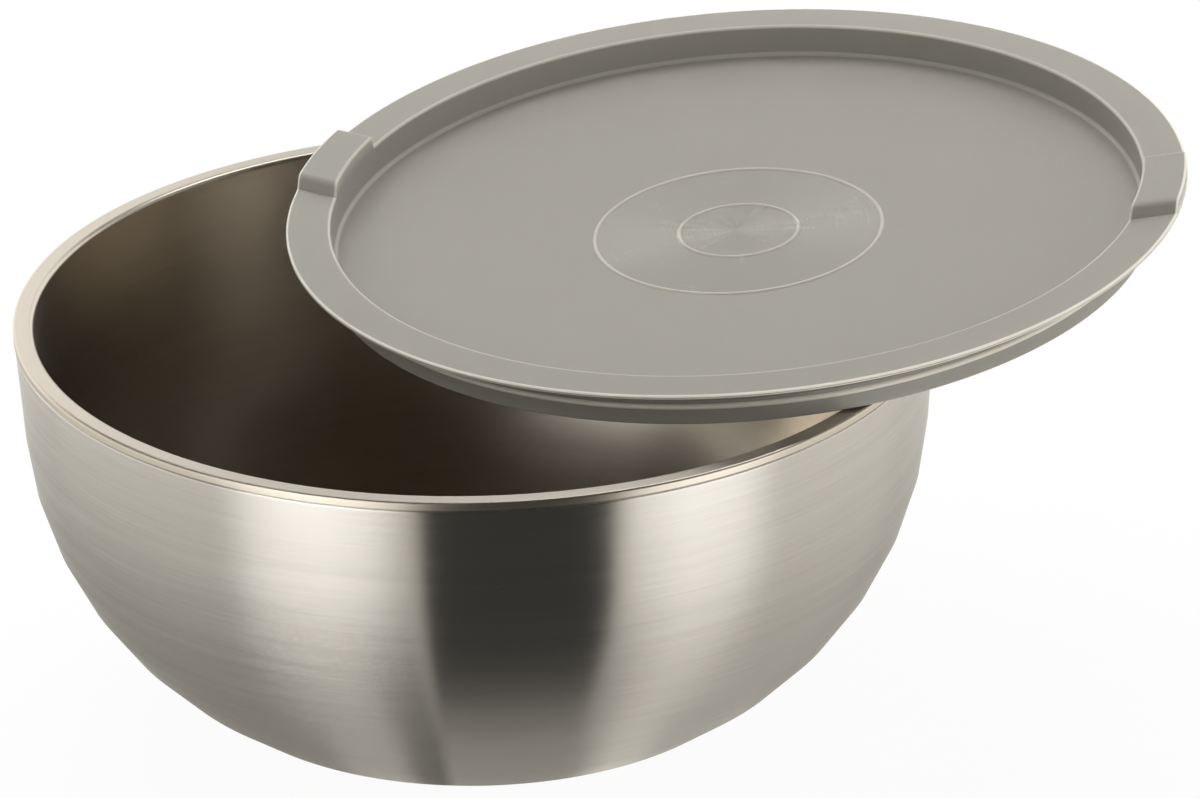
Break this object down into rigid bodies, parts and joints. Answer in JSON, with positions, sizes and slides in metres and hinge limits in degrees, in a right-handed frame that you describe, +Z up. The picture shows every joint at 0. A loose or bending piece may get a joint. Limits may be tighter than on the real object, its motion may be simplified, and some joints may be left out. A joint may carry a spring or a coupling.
{
  "type": "insulated bowl with lid",
  "caption": "Double-walled satin steel bowl with a flat rim and a round body, and a loose grey plastic lid with a sunk panel and raised grips, lying ajar on the rim.",
  "frame": {"origin": "middle of the base plate's underside, on the bowl's axis", "axes": "+Z up along the bowl's axis; +X to the right and +Y to the back as the lid is pushed aside"},
  "size_m": [0.3083, 0.2747, 0.136],
  "materials": {
    "inner_steel": "fine turned satin",
    "outer_steel": "fine brushed satin",
    "vent_plug": "plain",
    "lid_plastic": "satin moulded"
  },
  "bodies": {
    "bowl": {"inner_shell": "inner_steel", "outer_shell": "outer_steel", "base_plate": "outer_steel", "vent_plug": "vent_plug"},
    "lid": {"lid": "lid_plastic"}
  },
  "joints": [
    {"name": "lid_lift", "type": "slide", "parent": "bowl", "child": "lid", "axis": [0, 0, 1], "range_m": [0, 0.2]}
  ]
}
